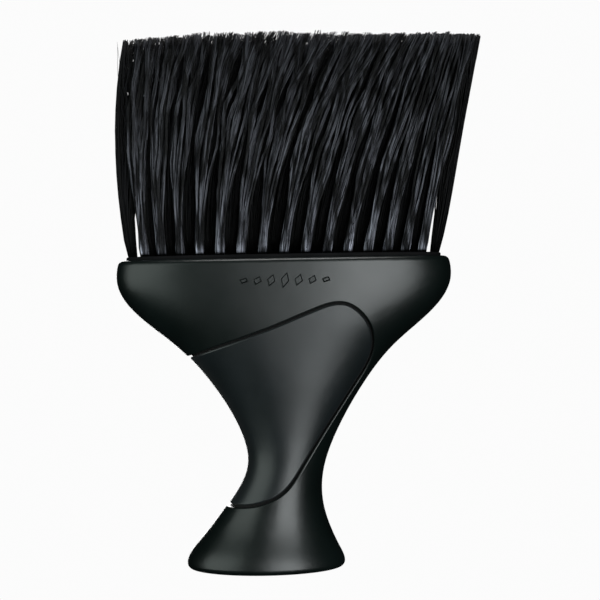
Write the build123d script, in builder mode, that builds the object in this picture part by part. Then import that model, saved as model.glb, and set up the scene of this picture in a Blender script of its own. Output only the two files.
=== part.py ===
from build123d import *
from math import copysign, cos, pi, sin
import os

# Neck duster brush: a wide flat head full of tufts on a waisted handle that stands on its foot.
# Millimetres. Origin at the centre of the foot's flat underside, +Z up to the tips, front at -Y.

os.makedirs("parts", exist_ok=True)

# Handle outline, foot to rim: height, left edge, right edge, half depth, squareness of the section
stations = [
    (0.0, -25.6, 25.6, 16.0, 2.0),
    (3.5, -25.9, 25.9, 16.0, 2.0),
    (6.5, -24.2, 24.5, 15.0, 2.0),
    (11.0, -20.4, 22.4, 13.2, 2.0),
    (20.0, -13.4, 19.5, 10.7, 2.0),
    (33.0, -6.1, 19.8, 9.6, 2.0),
    (46.0, -8.3, 24.8, 10.2, 2.1),
    (60.0, -16.4, 33.0, 11.9, 2.2),
    (74.0, -28.9, 44.5, 13.7, 2.35),
    (86.0, -43.0, 58.0, 15.0, 2.5),
    (94.5, -47.9, 62.9, 15.5, 2.6),
    (102.4, -47.2, 62.2, 15.4, 2.6),
]
section_points = 24
foot_half_width, foot_half_depth = stations[0][2], stations[0][3]
rim_height = stations[-1][0]
rim_outline = stations[-1][1:]
rim_rounding = 1.9
foot_rounding = 1.8

# Soft grip let into the left side of the handle; the swoosh is its outline seen from the front
grip_step = 0.25
rebate_depth = 1.8
groove_width = 0.7
groove_rounding = 0.4
grip_rounding = 0.5
swoosh_points = 32
swoosh_top_corner, swoosh_bottom_corner = (-60.0, 67.6), (-60.0, 21.3)
swoosh = [
    (-32.0, 67.6), (-13.5, 74.0), (4.8, 80.3), (19.5, 86.1), (26.2, 87.3), (32.5, 83.8),
    (35.9, 77.5), (35.5, 70.5), (31.5, 63.0), (20.3, 46.2), (12.2, 33.4), (6.4, 25.9),
    (-0.9, 22.2), (-11.6, 21.0), (-24.0, 21.3),
]

# Head pocket, the hollow below it, and the bristle block that closes both
pocket_wall = 2.4
pocket_depth = 11.0
pocket_floor = rim_height - pocket_depth
hollow_wall = 5.0
hollow_bottom = 60.0
block_top = rim_height + 1.2
block_rounding = 0.5

# Coring and ribs under the foot
foot_wall = 4.6
foot_core_depth = 6.0
rib_thickness = 1.8
rib_spacing = 13.0

# Raised lozenges on the front of the head
motif_centre = (8.0, 95.0)
motif_pitch = 4.4
motif_heights = [2.4, 3.6, 4.8, 6.2, 4.8, 3.6, 2.4]
motif_width = 3.2
motif_slant = 0.9
motif_relief = 0.7
motif_root = 0.5
motif_draft = 25.0        # degrees that their sides lean in

# Tufts at the block
tufts_centre = (rim_outline[0] + rim_outline[1]) / 2
tufts_half_span = 50.0
outer_count = 15          # tufts in the front row, and as many in the back row
outer_reach = 0.905       # place of their last tuft, as a share of the half span
bunching = 0.7            # radians; the larger, the closer the tufts stand at a row's ends
row_distance = 8.0
row_bow = 0.3             # share of the row distance lost at the ends of the block
hole_radius = 1.65
hole_depth = 6.5
root_radius = 1.55
root_recess = 1.0
staple_wire, staple_width, staple_height = 0.4, 2.9, 2.4

# Free tufts, from just above the block to the tips
overall_height = 175.0
tuft_start = block_top + 1.2
tip_fall = 1.6
tip_row_distance = 11.6
tuft_gap = 0.6
end_room = 0.62           # room beyond a row's last tuft, as a share of the room before it
tuft_levels = [0.0, 0.07, 0.25, 0.5, 0.75, 1.0]


def section(left, right, half_depth, squareness, inset=0.0):
    """A closed smooth oval for the line being built; squareness 2 is an ellipse."""
    middle = (left + right) / 2
    half_width = (right - left) / 2 - inset
    points = []
    for k in range(section_points):
        c, s = cos(2 * pi * k / section_points), sin(2 * pi * k / section_points)
        x = middle + half_width * copysign(abs(c) ** (2 / squareness), c)
        y = (half_depth - inset) * copysign(abs(s) ** (2 / squareness), s)
        points.append((x, y))
    return Spline(*points, periodic=True)


def handle_shape(inset, lowest=0.0):
    """The handle's whole outer shape, drawn in by inset all round."""
    with BuildPart() as shape:
        for height, *outline in stations:
            if height >= lowest:
                with BuildSketch(Plane.XY.offset(height)):
                    with BuildLine():
                        section(*outline, inset)
                    make_face()
        loft()
    return shape.part


def swoosh_prism(margin):
    """The grip's outline as a prism right through the handle, grown by margin."""
    middle_line = Spline(*swoosh)
    shifted = []
    for k in range(swoosh_points + 1):
        point, along = middle_line @ (k / swoosh_points), middle_line % (k / swoosh_points)
        shifted.append((point.X - margin * along.Y, point.Y + margin * along.X))
    with BuildPart() as prism:
        with BuildSketch(Plane.XZ):
            with BuildLine():
                edge = Spline(*shifted)
                Polyline(edge @ 1, swoosh_bottom_corner, swoosh_top_corner, edge @ 0)
            make_face()
        extrude(amount=2 * foot_half_depth, both=True)
    return prism.part


def swoosh_edges(part):
    """The two edges along the swoosh on the part's outside, front and back."""
    long_edges = part.edges().filter_by(lambda e: e.length > 100 and 30 < e.center().Z < 90)
    return long_edges.sort_by(lambda e: abs(e.center().Y))[-2:]


def tuft_shares(row):
    """Places of a row's tufts along the block, as shares of the half span from -1 to 1."""
    outer = []
    for k in range(outer_count):
        turn = bunching * (2 * k / (outer_count - 1) - 1)
        outer.append(outer_reach * sin(turn) / sin(bunching))
    if row != "middle":
        return outer
    between = [(a + b) / 2 for a, b in zip(outer, outer[1:])]
    return [-1.0, *between, 1.0]


def tuft_foot(row, share):
    """Centre of a tuft's hole in the block's face."""
    side = {"front": -1, "middle": 0, "back": 1}[row]
    return (
        tufts_centre + tufts_half_span * share,
        side * row_distance * (1 - row_bow * share**2),
    )


def tuft_sideways(share, rise):
    """Where a tuft's centre line has got to along X, with rise 0 at the block and 1 at the tips."""
    start_lean = 0.105 + 0.182 * share - 0.092 * share**2
    tip_lean = 0.186 + 0.029 * share + (0.341 + 0.12 * share) * (1 - abs(share) ** 1.6)
    swing = start_lean * rise + (tip_lean - start_lean) * rise**2 / 2
    return tufts_centre + tufts_half_span * share + (overall_height - block_top) * swing


def tuft_solid(row, share, before, after):
    """One free tuft between its neighbours' shares, widening until it all but meets them."""
    side = {"front": -1, "middle": 0, "back": 1}[row]
    tip = overall_height - tip_fall * ((share + 0.35) / 1.35) ** 2
    narrowing = 1 - row_bow * share**2
    with BuildPart() as tuft:
        for rise in tuft_levels:
            x = tuft_sideways(share, rise)
            y = side * narrowing * (row_distance + (tip_row_distance - row_distance) * rise)
            room = min(x - tuft_sideways(before, rise), tuft_sideways(after, rise) - x)
            fill = min(1.0, 0.45 + 2.2 * rise)
            half_width = fill * (room - tuft_gap) / 2
            half_depth = fill * narrowing * (3.2 + 2.0 * rise)
            height = tuft_start + (tip - tuft_start) * rise
            with BuildSketch(Plane((x, y, height))):
                Ellipse(half_width, half_depth)
        loft()
    return tuft.part


# Handle body: hard moulding with the grip's rebate, the head pocket and the cored foot
rebate_core = handle_shape(rebate_depth)

with BuildPart() as rebate:
    add(swoosh_prism(groove_width / 2))
    add(rebate_core, mode=Mode.SUBTRACT)

head_half_depth = max(station[3] for station in stations[-2:])

with BuildPart() as motif:
    with BuildSketch(Plane.XZ.offset(head_half_depth - motif_root)):
        for k, height in enumerate(motif_heights):
            x = motif_centre[0] + motif_pitch * (k - (len(motif_heights) - 1) / 2)
            z = motif_centre[1]
            with BuildLine():
                Polyline(
                    (x - motif_slant, z - height / 2),
                    (x + motif_width / 2, z - motif_slant / 2),
                    (x + motif_slant, z + height / 2),
                    (x - motif_width / 2, z + motif_slant / 2),
                    close=True,
                )
            make_face()
    extrude(amount=motif_root + motif_relief, taper=motif_draft)

with BuildPart() as handle_body:
    add(handle_shape(0))
    add(rebate.part, mode=Mode.SUBTRACT)
    fillet(swoosh_edges(handle_body), groove_rounding)
    fillet(handle_body.faces().sort_by(Axis.Z)[-1].edges(), rim_rounding)
    fillet(handle_body.faces().sort_by(Axis.Z)[0].edges(), foot_rounding)
    with BuildSketch(Plane.XY.offset(pocket_floor)):
        with BuildLine():
            section(*rim_outline, pocket_wall)
        make_face()
    extrude(amount=pocket_depth, mode=Mode.SUBTRACT)
    add(handle_shape(hollow_wall, hollow_bottom), mode=Mode.SUBTRACT)
    with BuildSketch():
        Ellipse(foot_half_width - foot_wall, foot_half_depth - foot_wall)
        Rectangle(3 * foot_half_width, rib_thickness, mode=Mode.SUBTRACT)
        with GridLocations(rib_spacing, 0, 3, 1):
            Rectangle(rib_thickness, 3 * foot_half_depth, mode=Mode.SUBTRACT)
    extrude(amount=foot_core_depth, mode=Mode.SUBTRACT)
    add(motif.part)
handle_body.part.label = "handle_body"
export_step(handle_body.part, "parts/handle_body.step")

# Grip: soft skin that fills the rebate but for the groove round its edge
with BuildPart() as grip:
    add(handle_shape(grip_step))
    add(swoosh_prism(-groove_width / 2), mode=Mode.INTERSECT)
    add(rebate_core, mode=Mode.SUBTRACT)
    fillet(swoosh_edges(grip), grip_rounding)
grip.part.label = "grip"
export_step(grip.part, "parts/grip.step")

# Bristle block: pressed into the pocket, standing a little proud of the rim
tuft_feet = [tuft_foot(row, s) for row in ("front", "middle", "back") for s in tuft_shares(row)]

with BuildPart() as bristle_block:
    with BuildSketch(Plane.XY.offset(pocket_floor)):
        with BuildLine():
            section(*rim_outline, pocket_wall)
        make_face()
    extrude(amount=block_top - pocket_floor)
    fillet(bristle_block.faces().sort_by(Axis.Z)[-1].edges(), block_rounding)
    with BuildSketch(Plane.XY.offset(block_top)):
        with Locations(*tuft_feet):
            Circle(hole_radius)
    extrude(amount=-hole_depth, mode=Mode.SUBTRACT)
bristle_block.part.label = "bristle_block"
export_step(bristle_block.part, "parts/bristle_block.step")

# Tuft roots: the folded ends in their holes, each with a slot where its staple holds it
with BuildPart() as tuft_roots:
    with BuildSketch(Plane.XY.offset(block_top - hole_depth)):
        with Locations(*tuft_feet):
            Circle(root_radius)
    extrude(amount=hole_depth - root_recess)
    with BuildSketch(Plane.XY.offset(block_top - hole_depth)):
        with Locations(*tuft_feet):
            Rectangle(staple_width, staple_wire)
    extrude(amount=staple_height, mode=Mode.SUBTRACT)
tuft_roots.part.label = "tuft_roots"
export_step(tuft_roots.part, "parts/tuft_roots.step")

with BuildPart() as staples:
    with BuildSketch(Plane.XY.offset(block_top - hole_depth)):
        with Locations(*tuft_feet):
            Rectangle(staple_width, staple_wire)
    extrude(amount=staple_height)
staples.part.label = "staples"
export_step(staples.part, "parts/staples.step")

# Free tufts, one node each
for row in ("front", "middle", "back"):
    shares = tuft_shares(row)
    first_room, last_room = end_room * (shares[1] - shares[0]), end_room * (shares[-1] - shares[-2])
    ends = [shares[0] - first_room, *shares, shares[-1] + last_room]
    for k, share in enumerate(shares, 1):
        tuft = tuft_solid(row, share, ends[k - 1], ends[k + 1])
        tuft.label = f"tuft_{row}_{k:02d}"
        export_step(tuft, f"parts/{tuft.label}.step")
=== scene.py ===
"""Neck duster brush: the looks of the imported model, in metres, +Z up, front at -Y."""

from math import cos, pi, radians, sin

import bmesh
import bpy
import numpy as np
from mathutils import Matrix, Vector


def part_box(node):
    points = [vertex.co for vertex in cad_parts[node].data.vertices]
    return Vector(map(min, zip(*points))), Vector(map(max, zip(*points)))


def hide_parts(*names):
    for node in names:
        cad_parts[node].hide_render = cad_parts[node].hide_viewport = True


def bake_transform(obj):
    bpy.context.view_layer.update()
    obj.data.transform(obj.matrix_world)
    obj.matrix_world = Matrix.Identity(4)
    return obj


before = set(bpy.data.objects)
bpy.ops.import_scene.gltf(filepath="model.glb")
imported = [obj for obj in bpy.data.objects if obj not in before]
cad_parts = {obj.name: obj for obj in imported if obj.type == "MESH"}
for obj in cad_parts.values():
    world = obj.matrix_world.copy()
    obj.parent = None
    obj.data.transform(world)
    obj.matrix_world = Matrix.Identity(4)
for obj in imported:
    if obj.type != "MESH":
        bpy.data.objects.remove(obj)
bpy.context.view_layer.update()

MM = 0.001

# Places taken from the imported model
block_low, block_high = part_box("bristle_block")
block_top = block_high.z
tip_height = max(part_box(node)[1].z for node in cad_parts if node.startswith("tuft_"))
free_length = tip_height - block_top
tufts_centre = (block_low.x + block_high.x) / 2

# The tufts' layout, as the model has it
half_span = 50 * MM
outer_count, outer_reach, bunching = 15, 0.905, 0.7
row_distance, tip_row_distance, row_bow = 8 * MM, 11.6 * MM, 0.3
row_sides = {"front": -1, "middle": 0, "back": 1}


# ---------------------------------------------------------------- camera and lights

camera_distance = 0.416
camera_target = Vector((0.0127, 0.0, 0.0885))
camera_roll = radians(1.0)
sensor_width, focal_length = 36, 74.9
page_white = 0.97              # how bright the surround and the floor look
floor_radius = 4.0
dim_colour, dim_strength = (0.80, 0.86, 0.88), 0.01

# (name, place, size, power, tint)
lights = [
    ("key", (0.39, -1.05, 0.12), (0.64, 1.00), 11.2, (0.94, 0.99, 1.0)),
    ("fill", (-0.90, -0.70, 0.25), (1.05, 1.05), 6.8, (0.88, 1.0, 0.95)),
    ("top", (0.05, 0.0, 1.25), (0.7, 0.5), 9, (1, 1, 1)),
    ("back", (-0.12, 1.15, 0.25), (0.50, 0.90), 9, (1, 1, 1)),
]


def make_camera():
    """The photo's viewpoint, level with the middle of the brush."""
    data = bpy.data.cameras.new("camera")
    data.sensor_width = sensor_width
    data.lens = focal_length
    camera = bpy.data.objects.new("camera", data)
    camera.location = camera_target + Vector((0, -camera_distance, 0))
    camera.rotation_euler = (radians(90), camera_roll, 0)
    bpy.context.scene.collection.objects.link(camera)
    bpy.context.scene.camera = camera
    bpy.context.scene.view_settings.view_transform = "Standard"


def softbox(name, place, size, power, tint):
    """An area light aimed at the middle of the brush."""
    data = bpy.data.lights.new(name, "AREA")
    data.shape = "RECTANGLE"
    data.size, data.size_y = size
    data.energy = power
    data.color = tint
    light = bpy.data.objects.new(name, data)
    light.location = place
    aim = camera_target - Vector(place)
    light.rotation_euler = aim.to_track_quat("-Z", "Y").to_euler()
    bpy.context.scene.collection.objects.link(light)


def make_world():
    """A pale surround for the eye, and a dim one for what the brush reflects."""
    world = bpy.data.worlds.new("studio")
    bpy.context.scene.world = world
    world.use_nodes = True
    nodes, links = world.node_tree.nodes, world.node_tree.links
    nodes.clear()
    seen = nodes.new("ShaderNodeBackground")
    seen.inputs["Color"].default_value = (page_white, page_white, page_white, 1)
    seen.inputs["Strength"].default_value = 1.0
    reflected = nodes.new("ShaderNodeBackground")
    reflected.inputs["Color"].default_value = (*dim_colour, 1)
    reflected.inputs["Strength"].default_value = dim_strength
    path = nodes.new("ShaderNodeLightPath")
    mix = nodes.new("ShaderNodeMixShader")
    out = nodes.new("ShaderNodeOutputWorld")
    links.new(path.outputs["Is Camera Ray"], mix.inputs["Fac"])
    links.new(reflected.outputs["Background"], mix.inputs[1])
    links.new(seen.outputs["Background"], mix.inputs[2])
    links.new(mix.outputs["Shader"], out.inputs["Surface"])


def make_floor():
    """A plain pale disc that gives off its own light and lends none to the brush."""
    mesh = bpy.data.meshes.new("floor")
    work = bmesh.new()
    bmesh.ops.create_circle(work, cap_ends=True, segments=96, radius=floor_radius)
    work.to_mesh(mesh)
    work.free()
    floor = bpy.data.objects.new("floor", mesh)
    bpy.context.scene.collection.objects.link(floor)
    material = bpy.data.materials.new("floor_paper")
    material.use_nodes = True
    shader = material.node_tree.nodes["Principled BSDF"]
    shader.inputs["Base Color"].default_value = (0, 0, 0, 1)
    shader.inputs["Roughness"].default_value = 0.9
    shader.inputs["Specular IOR Level"].default_value = 0.0
    shader.inputs["Emission Color"].default_value = (1, 1, 1, 1)
    shader.inputs["Emission Strength"].default_value = page_white
    mesh.materials.append(material)
    floor.visible_diffuse = False
    floor.visible_glossy = False
    floor.visible_shadow = False


# ---------------------------------------------------------------- materials

crevice_reach = 1.6 * MM
crevice_shade = (0.45, 0.85)   # ambient occlusion at which the painted crevice shade is full, and at which it ends
crevice_roughness = 0.95

# Heights above the block between which the bristles' tone changes
# painted shadow: the filaments are black at the block and lighten between these heights above it
painted_base_shadow_heights = (0.5 * MM, 1.2 * MM)
# painted highlight: the outer rows' filaments are brighter just above the block, up to these
# heights
heel_heights = (1.8 * MM, 4 * MM)
root_heights = (2 * MM, 20 * MM)
tip_darkening_starts = 25 * MM
streak_stretch = (420, 420, 60)   # noise cells a metre: long along Z
streak_gain = 1.25

# How much the tone is multiplied by at the root (painted light on the outer rows, painted shade on
# the middle row), at the heel (painted light), towards the tip (darker), and in the darkest streaks
lit_outer_tones = {"dark": (0.006, 0.006, 0.008), "light": (0.140, 0.144, 0.168),
               "root": 2.3, "heel": 2.0, "tip": 0.40, "streak": 0.06,
               "roughness": (0.34, 0.52), "shine": 0.13}
# painted shade: the middle row's nylon is a far darker copy of the outer rows', for the shade
# between the rows
shaded_middle_tones = {"dark": (0.001, 0.001, 0.001), "light": (0.010, 0.010, 0.012),
               "root": 0.1, "heel": 1.0, "tip": 1.0, "streak": 0.7,
               "roughness": (0.55, 0.75), "shine": 0.15}


class Shader:
    """A material's node tree, built a node at a time."""

    def __init__(self, name):
        self.material = bpy.data.materials.new(name)
        self.material.use_nodes = True
        self.tree = self.material.node_tree
        self.surface = self.tree.nodes["Principled BSDF"]

    def fix(self, socket, value):
        """Sets a value that is the same all over the surface."""
        self.surface.inputs[socket].default_value = value

    def drive(self, socket, source):
        """Links a varying value to the surface."""
        self.link(source, self.surface.inputs[socket])

    def add(self, kind, **settings):
        node = self.tree.nodes.new(kind)
        for key, value in settings.items():
            setattr(node, key, value)
        return node

    def link(self, source, target):
        self.tree.links.new(source, target)

    def place(self):
        """The object's own coordinates, in metres."""
        return self.add("ShaderNodeTexCoord").outputs["Object"]

    def noise(self, scale, detail, rough=0.5, where=None):
        node = self.add("ShaderNodeTexNoise")
        node.inputs["Scale"].default_value = scale
        node.inputs["Detail"].default_value = detail
        node.inputs["Roughness"].default_value = rough
        self.link(where or self.place(), node.inputs["Vector"])
        return node.outputs["Fac"]

    def spread(self, value, low, high, start=0.3, end=0.7):
        """Maps a value from start..end to low..high."""
        node = self.add("ShaderNodeMapRange")
        node.inputs["From Min"].default_value = start
        node.inputs["From Max"].default_value = end
        node.inputs["To Min"].default_value = low
        node.inputs["To Max"].default_value = high
        self.link(value, node.inputs["Value"])
        return node.outputs["Result"]

    def colour(self, value, dark, light, start=0.3, end=0.7):
        node = self.add("ShaderNodeValToRGB")
        ramp = node.color_ramp.elements
        ramp[0].position, ramp[1].position = start, end
        ramp[0].color, ramp[1].color = (*dark, 1), (*light, 1)
        self.link(value, node.inputs["Fac"])
        return node.outputs["Color"]

    def scaled(self, colour, factor):
        node = self.add("ShaderNodeVectorMath", operation="SCALE")
        self.link(colour, node.inputs[0])
        self.link(factor, node.inputs["Scale"])
        return node.outputs["Vector"]

    def math(self, operation, first, second):
        node = self.add("ShaderNodeMath", operation=operation)
        self.link(first, node.inputs[0])
        self.link(second, node.inputs[1])
        return node.outputs["Value"]

    def skin(self, colour, roughness):
        """Colour and roughness, with painted shade darkening the narrow crevices, which are also
        made rough.
        """
        near = self.add("ShaderNodeAmbientOcclusion", samples=8)
        near.inputs["Distance"].default_value = crevice_reach
        crevice_openness = near.outputs["AO"]
        shade = self.spread(crevice_openness, 0.0, 1.0, *crevice_shade)
        # painted shade: the base colour is darkened where ambient occlusion finds a crevice
        self.drive("Base Color", self.scaled(colour, shade))
        dull = self.spread(crevice_openness, crevice_roughness, 0.0, *crevice_shade)
        self.drive("Roughness", self.math("MAXIMUM", roughness, dull))

    def bump(self, value, distance, strength, after=None):
        node = self.add("ShaderNodeBump")
        node.inputs["Distance"].default_value = distance
        node.inputs["Strength"].default_value = strength
        self.link(value, node.inputs["Height"])
        if after is not None:
            self.link(after, node.inputs["Normal"])
        return node.outputs["Normal"]


def hard_plastic():
    """Satin black moulding: a fine spark-eroded grain with slightly polished patches."""
    s = Shader("hard_black_plastic")
    tone = s.colour(s.noise(60, 3), (0.0015, 0.0035, 0.003), (0.003, 0.006, 0.0055))
    s.skin(tone, s.spread(s.noise(45, 4, 0.6), 0.28, 0.35))
    grain = s.bump(s.noise(3800, 2), 0.02 * MM, 0.5)
    s.drive("Normal", s.bump(s.noise(160, 2), 0.05 * MM, 0.5, grain))
    s.fix("Specular IOR Level", 0.5)
    return s.material


def soft_touch():
    """Soft-touch rubber: a little paler than the moulding, with a finer, softer grain."""
    s = Shader("soft_touch_grip")
    tone = s.colour(s.noise(80, 3), (0.004, 0.0065, 0.007), (0.007, 0.010, 0.0115))
    s.skin(tone, s.spread(s.noise(70, 3), 0.31, 0.37))
    grain = s.bump(s.noise(5200, 2), 0.025 * MM, 0.6)
    s.drive("Normal", s.bump(s.noise(220, 2), 0.04 * MM, 0.5, grain))
    s.fix("Sheen Weight", 0.08)
    s.fix("Sheen Roughness", 0.4)
    return s.material


def block_plastic():
    """Plain matte black plastic of the bristle block."""
    s = Shader("bristle_block_plastic")
    tone = s.colour(s.noise(120, 3), (0.0015, 0.0015, 0.002), (0.003, 0.003, 0.0035))
    s.drive("Base Color", tone)
    s.drive("Roughness", s.spread(s.noise(150, 2), 0.75, 0.9))
    s.fix("Specular IOR Level", 0.12)
    s.drive("Normal", s.bump(s.noise(2500, 2), 0.03 * MM, 0.5))
    return s.material


def bristle_nylon(name, tones):
    """Black nylon: every filament has its own tone. Painted shadow makes it black at the block;
    just above it, the outer rows' tones paint light on it and the middle row's tones paint shade;
    it darkens towards the tips.
    """
    s = Shader(name)
    own = s.add("ShaderNodeNewGeometry").outputs["Random Per Island"]
    height = s.add("ShaderNodeSeparateXYZ")
    s.link(s.place(), height.inputs["Vector"])
    height = height.outputs["Z"]

    def ramp(low, high, heights):
        return s.spread(height, low, high, *[block_top + above for above in heights])

    # painted shadow: black where the filaments leave the block
    painted_base_shadow = ramp(0.0, 1.0, painted_base_shadow_heights)
    # painted light on the outer rows' lower filaments, painted shade on the middle row's, fading
    # out over root_heights
    root_light_and_shade = ramp(tones["root"], 1.0, root_heights)
    # darker towards the tips
    tip_darkening = ramp(1.0, tones["tip"], (tip_darkening_starts, free_length))
    # painted highlight on the bright bases of the outer rows' tufts
    heel = ramp(tones["heel"], 1.0, heel_heights)
    streaks = s.add("ShaderNodeMapping")
    streaks.inputs["Scale"].default_value = streak_stretch
    s.link(s.place(), streaks.inputs["Vector"])
    cells = s.noise(1, 1, 0.5, streaks.outputs["Vector"])
    streak = s.spread(cells, tones["streak"], streak_gain, 0.42, 0.60)
    strength = painted_base_shadow
    for factor in (root_light_and_shade, tip_darkening, streak, heel):
        strength = s.math("MULTIPLY", strength, factor)
    tone = s.colour(own, tones["dark"], tones["light"], 0.2, 1.0)
    s.drive("Base Color", s.scaled(tone, strength))
    s.drive("Roughness", s.spread(own, *tones["roughness"], 0.0, 1.0))
    s.fix("Specular IOR Level", tones["shine"])
    return s.material


def anchor_steel():
    """Bare steel of the wire anchors."""
    s = Shader("anchor_steel")
    s.fix("Metallic", 1.0)
    s.drive("Base Color", s.colour(s.noise(900, 2), (0.45, 0.45, 0.46), (0.62, 0.62, 0.63)))
    s.drive("Roughness", s.spread(s.noise(1500, 2), 0.28, 0.4))
    return s.material


def dress(node, material):
    """Gives one of the model's own meshes a material."""
    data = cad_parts[node].data
    data.materials.clear()
    data.materials.append(material)


# ---------------------------------------------------------------- bristles

# radius and steps are a filament's; gather is a clump's half width, and opens and packed are rises
# (0 at the hole, 1 at the tip): where a tuft opens out, and where it stops being a round bundle.
# depth is a tuft's half depth in mm, at the block and what the rise adds to it.
row_looks = {
    "outer": {"count": 190, "radius": 0.12 * MM, "steps": 16, "clumps": 9, "gather": 0.075,
              "opens": (0.10, 0.55), "packed": 0.24, "depth": (3.0, 1.7), "droop": 1.0},
    "inner": {"count": 250, "radius": 0.17 * MM, "steps": 10, "clumps": 24, "gather": 0.60,
              "opens": (0.00, 0.06), "packed": 0.05, "depth": (4.4, 1.9), "droop": 0.2},
}
filament_sides = 3
tip_taper = 0.75
radius_range = (0.85, 1.2)
root_depth = 1.5 * MM          # how far the filaments reach into the hole
root_spread = 1.35 * MM        # half width of the bundle in the hole
peg_spread = 1.75 * MM         # half width of a tuft just above the block

# Half widths of a tuft, opened and at the tips, in half gaps between tufts
full_widths, inwards_widths = (1.15, 1.25), (1.4, 1.4)

# The middle row's end tufts: half widths on their outer sides, and the rises where each side opens
first_widths, last_widths = (1.6 * MM, 0.9 * MM), (2.3 * MM, 4.0 * MM)
end_opens_inwards, end_opens_outwards = (0.12, 0.50), (0.00, 0.25)

# Loose hairs of the first middle tuft: how far they stand off at the left, and from which rise
stray_reaches = np.array([1.3, 2.0, 2.9, 3.4]) * MM
stray_radius = 0.07 * MM
stray_start = 0.55

# The cut line of the tips: it falls off to the left, to the right and at the right corner
left_fall = {"start": -20 * MM, "over": 26 * MM, "by": 1.5 * MM, "power": 1.3}
right_fall = {"start": -8 * MM, "over": 60 * MM, "by": 1.2 * MM}
corner_fall = {"start": 69 * MM, "over": 5 * MM, "by": 1.5 * MM}
uneven_clumps, uneven_filaments, proud = 0.45 * MM, 0.10 * MM, 0.3 * MM


def tuft_shares(row):
    """Where a row's tufts stand along X, as shares of the half span."""
    outer = []
    for k in range(outer_count):
        turn = bunching * (2 * k / (outer_count - 1) - 1)
        outer.append(outer_reach * sin(turn) / sin(bunching))
    if row != "middle":
        return outer
    return [-1.0, *[(a + b) / 2 for a, b in zip(outer, outer[1:])], 1.0]


def sideways(share, rise):
    """Where a filament that starts at this share of the half span has got to along X."""
    start_lean = 0.105 + 0.182 * share - 0.092 * share**2
    tip_lean = 0.186 + 0.029 * share + (0.341 + 0.12 * share) * (1 - np.abs(share) ** 1.6)
    swing = start_lean * rise + (tip_lean - start_lean) * rise**2 / 2
    return tufts_centre + half_span * share + free_length * swing


def ease(part):
    """A smooth step from 0 to 1."""
    return part * part * (3 - 2 * part)


def smooth(value, start, end):
    return ease(np.clip((value - start) / (end - start), 0, 1))


def trim_height(x, droop):
    """The height that the tips are cut to, at x."""
    fall = left_fall
    left = np.clip((fall["start"] - x) / fall["over"], 0, 2) ** fall["power"] * fall["by"]
    fall = right_fall
    right = ease(np.clip((x - fall["start"]) / fall["over"], 0, 1)) * fall["by"]
    fall = corner_fall
    corner = np.clip((x - fall["start"]) / fall["over"], 0, 1) ** 2 * fall["by"]
    return tip_height - droop * (left + right + corner)


def wave(rise, rng, count, turns_low, turns_high):
    """A smooth wander along each strand: the mean of two sine waves of random turns and phase."""
    turns = rng.uniform(turns_low, turns_high, (count, 1, 2))
    phase = rng.uniform(0, 2 * pi, (count, 1, 2))
    return np.sin(rise[None, :, None] * turns * 2 * pi + phase).mean(2)


def side_width(rise, widths, opens):
    """Half width of a tuft on one side: as it leaves the block, then opened, then at the tips."""
    opened = peg_spread + (widths[0] - peg_spread) * smooth(rise, *opens)
    return opened + (widths[1] - widths[0]) * rise**5


def clump_places(clumps, rng):
    """Where the clumps stand in the tuft's round section: a spiral at the golden angle."""
    jitter = rng.uniform(0, 2 * pi), rng.uniform(-0.3, 0.3, clumps)
    angle = jitter[0] + np.arange(clumps) * 2.4 + jitter[1]
    reach = np.sqrt((np.arange(clumps) + 0.5) / clumps)
    return reach * np.cos(angle), reach * np.sin(angle)


def tuft_section(look, rise, rng):
    """Each filament's clump, its place in the tuft's section from -1 to 1 at every rise, across (X)
    and along (Y), and its own place in a round bundle."""
    count, clumps = look["count"], look["clumps"]
    clump = rng.integers(0, clumps, count)
    clump_x, clump_y = clump_places(clumps, rng)
    own_angle, own_reach = rng.uniform(0, 2 * pi, count), np.sqrt(rng.uniform(0, 1, count))
    own_x = (own_reach * np.cos(own_angle))[:, None]
    own_y = (own_reach * np.sin(own_angle))[:, None]

    # a clump tightens and loosens on its way up, and frays at the tip
    gather = 1 + 0.35 * wave(rise, rng, clumps, 0.6, 1.6) + 2.6 * rise**8
    gather = look["gather"] * gather[clump]
    slow, quick = wave(rise, rng, clumps, 0.8, 2.6), wave(rise, rng, clumps, 3, 4.5)
    wander_x = (0.30 * slow + 0.09 * quick)[clump] * rise
    wander_y = (0.16 * wave(rise, rng, clumps, 0.8, 2.6))[clump] * rise
    crimp = 0.07 * wave(rise, rng, count, 2.5, 4.5) * np.minimum(1, 3 * rise)
    across = 0.78 * clump_x[clump, None] + wander_x + gather * own_x + crimp
    along = 0.66 * clump_y[clump, None] + wander_y + gather * own_y

    outside = np.maximum(1, (across**4 + along**4) ** 0.25)
    return clump, across / outside, along / outside, own_x, own_y


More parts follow.
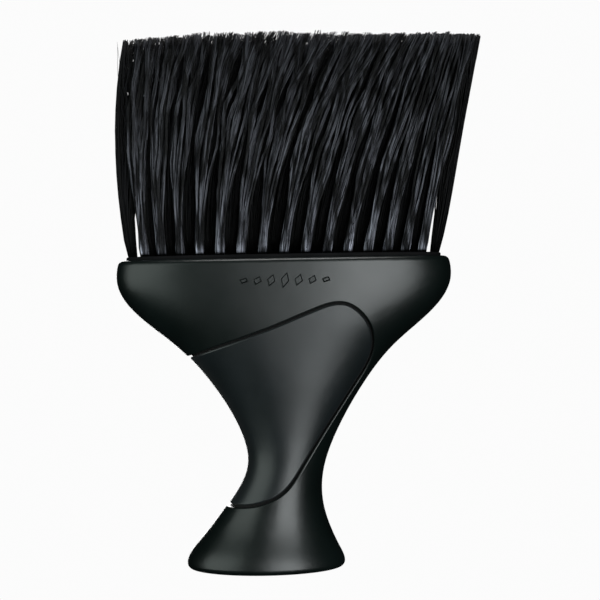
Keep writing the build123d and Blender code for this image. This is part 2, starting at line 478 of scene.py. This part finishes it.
def tuft_points(row, share, look, left, right, rng):
    """Centre lines of one tuft's filaments, as an array (filaments, steps, 3). left and right are
    side_width's arguments for each side of the tuft."""
    rise = np.linspace(0, 1, look["steps"] + 1)
    clump, across, along, own_x, own_y = tuft_section(look, rise, rng)

    half_width = np.where(across < 0, side_width(rise, *left), side_width(rise, *right))
    x = sideways(share + across * half_width / half_span, rise[None, :])
    narrowing = 1 - row_bow * share**2
    row_y = row_sides[row] * narrowing
    y_middle = row_y * (row_distance + (tip_row_distance - row_distance) * rise)
    fill = np.minimum(1.0, 0.45 + 2.2 * rise)
    half_depth = (look["depth"][0] + look["depth"][1] * rise) * MM
    y = y_middle + along * fill * narrowing * half_depth

    # where the tuft leaves its hole, the filaments are packed in a round bundle
    packed = 1 - smooth(rise, 0, look["packed"])
    spread = root_spread + (peg_spread - root_spread) * smooth(rise, 0.01, 0.06)
    bundle_x = sideways(share, rise) + spread * own_x
    bundle_y = row_y * row_distance + spread * own_y
    x = x * (1 - packed) + bundle_x * packed
    y = y * (1 - packed) + bundle_y * packed

    uneven = rng.exponential(uneven_filaments, look["count"])
    uneven = uneven + rng.uniform(-uneven_clumps, uneven_clumps, look["clumps"])[clump]
    length = trim_height(x[:, -1], look["droop"]) - uneven + proud
    z = block_top - root_depth + (length[:, None] - block_top + root_depth) * rise
    return np.stack([x, y, z], 2)


def let_hairs_loose(points, radius):
    """Moves a tuft's first filaments away to the left towards their tips, and thins them."""
    hairs = len(stray_reaches)
    loose = smooth(np.linspace(0, 1, points.shape[1]), stray_start, 1.0)
    points[:hairs, :, 0] -= np.outer(stray_reaches, loose)
    radius[:hairs] = stray_radius


def tubes(points, radius):
    """Closed tapered tubes along the centre lines, as (vertices, faces)."""
    count, steps, _ = points.shape
    sides = filament_sides
    along = np.gradient(points, axis=1)
    along /= np.linalg.norm(along, axis=2, keepdims=True)
    first = np.cross(along, np.array([0.0, 1.0, 0.0]))
    first /= np.linalg.norm(first, axis=2, keepdims=True)
    second = np.cross(along, first)
    taper = np.ones(steps)
    taper[-1] = tip_taper
    rings = []
    for k in range(sides):
        turn = 2 * pi * k / sides
        outwards = first * cos(turn) + second * sin(turn)
        rings.append(points + outwards * radius[:, None, None] * taper[None, :, None])
    vertices = np.stack(rings, 2).reshape(-1, 3)

    index = np.arange(count * steps * sides).reshape(count, steps, sides)
    after = np.roll(index, -1, axis=2)
    corners = [index[:, :-1], index[:, 1:], after[:, 1:], after[:, :-1]]
    quads = np.stack(corners, 3).reshape(-1, 4)
    bottoms, tops = index[:, 0, :], index[:, -1, ::-1]
    return vertices, quads, np.concatenate([bottoms, tops])


def mesh_object(name, vertices, quads, ends, material):
    mesh = bpy.data.meshes.new(name)
    faces = [*quads.tolist(), *ends.tolist()]
    mesh.from_pydata(vertices.tolist(), [], faces)
    mesh.polygons.foreach_set("use_smooth", np.ones(len(faces), bool))
    mesh.materials.append(material)
    mesh.update()
    piece = bpy.data.objects.new(name, mesh)
    bpy.context.scene.collection.objects.link(piece)
    return piece


def tuft_sides(row, k, shares, look):
    """side_width's arguments for the left and the right side of tuft k."""
    share = shares[k - 1]
    gaps = [abs(share - other) for other in shares if other != share]
    half_gap = min(gaps) / 2 * half_span
    full = tuple(width * half_gap for width in full_widths), look["opens"]
    inwards = tuple(width * half_gap for width in inwards_widths), end_opens_inwards
    if row == "middle" and k == 1:
        return (first_widths, end_opens_outwards), inwards
    if row == "middle" and k == len(shares):
        return inwards, (last_widths, end_opens_outwards)
    return full, full


def make_bristles(outer, inner):
    """One piece of filaments for each tuft, rooted in the block, in place of the model's own tuft.
    """
    rng = np.random.default_rng(7)
    for row in row_sides:
        look = row_looks["inner" if row == "middle" else "outer"]
        # the middle row takes the nylon darkened with painted shade
        material = inner if row == "middle" else outer
        shares = tuft_shares(row)
        for k, share in enumerate(shares, 1):
            left, right = tuft_sides(row, k, shares, look)
            points = tuft_points(row, share, look, left, right, rng)
            radius = look["radius"] * rng.uniform(*radius_range, len(points))
            if row == "middle" and k == 1:
                let_hairs_loose(points, radius)
            piece = mesh_object(f"bristles_{row}_{k:02d}", *tubes(points, radius), material)
            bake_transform(piece)
            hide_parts(f"tuft_{row}_{k:02d}")


make_camera()
make_world()
make_floor()
for light in lights:
    softbox(*light)

dress("handle_body", hard_plastic())
dress("grip", soft_touch())
dress("bristle_block", block_plastic())
dress("staples", anchor_steel())
lit_outer_nylon = bristle_nylon("bristle_nylon", lit_outer_tones)
# the middle row and the tufts' roots get the nylon darkened with painted shade
shaded_middle_nylon = bristle_nylon("bristle_nylon_middle_shaded", shaded_middle_tones)
dress("tuft_roots", shaded_middle_nylon)
make_bristles(lit_outer_nylon, shaded_middle_nylon)
